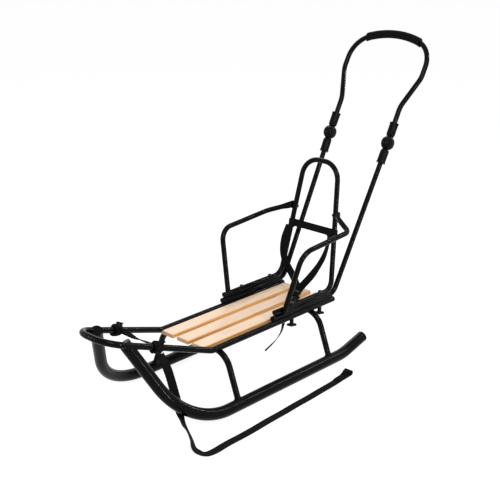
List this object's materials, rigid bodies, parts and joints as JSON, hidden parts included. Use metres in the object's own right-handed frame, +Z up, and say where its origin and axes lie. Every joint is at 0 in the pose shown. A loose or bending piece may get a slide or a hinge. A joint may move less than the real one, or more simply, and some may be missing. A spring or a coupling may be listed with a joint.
{
  "type": "metal sled",
  "caption": "Child's metal sled with a wooden slat seat, bolted backrest and armrests, lap belt, tow strap and a folding push handle.",
  "frame": {"origin": "on the ground under the middle of the sled's length, midway between the runners", "axes": "+X from the nose toward the push handle, +Y toward the sled's right side seen from behind the handle, +Z up"},
  "size_m": [1.2941, 0.486, 0.9396],
  "materials": {
    "black_paint": "gloss black powder coat on steel tube",
    "pine": "clear-varnished pale pine",
    "foam": "matte closed-cell foam",
    "black_plastic": "fine-textured moulded plastic",
    "webbing": "woven webbing",
    "black_steel": "black zinc-plated fasteners"
  },
  "bodies": {
    "sled": {"armrest_bolts_left": "black_steel", "armrest_bolts_right": "black_steel", "armrest_left": "black_paint", "armrest_right": "black_paint", "backrest_arch": "black_paint", "belt_band": "webbing", "belt_buckle": "black_plastic", "belt_left": "webbing", "belt_right": "webbing", "belt_tail": "webbing", "clamp_bolts_left": "black_steel", "clamp_bolts_right": "black_steel", "front_hoop": "black_paint", "knuckle_lower_left": "black_plastic", "knuckle_lower_right": "black_plastic", "knuckle_pin_left": "black_steel", "knuckle_pin_right": "black_steel", "push_tube_left": "black_paint", "push_tube_right": "black_paint", "rail_plug_left": "black_plastic", "rail_plug_right": "black_plastic", "rear_hoop": "black_paint", "runner_left": "black_paint", "runner_plug_left": "black_plastic", "runner_plug_right": "black_plastic", "runner_right": "black_paint", "seat_frame": "black_paint", "slat_left": "pine", "slat_middle": "pine", "slat_right": "pine", "slat_screws": "black_steel", "tow_band": "webbing", "tow_knot_left": "webbing", "tow_knot_right": "webbing", "tow_strap": "webbing", "wing_nuts_left": "black_steel", "wing_nuts_right": "black_steel"},
    "bow": {"handle_bow": "black_paint", "handle_grip": "foam", "knuckle_upper_left": "black_plastic", "knuckle_upper_right": "black_plastic"}
  },
  "joints": [
    {"name": "bow_fold", "type": "hinge", "parent": "sled", "child": "bow", "pos_m": [0.45681, 0, 0.62], "axis": [0, -1, 0], "range_deg": [0, 120]}
  ]
}
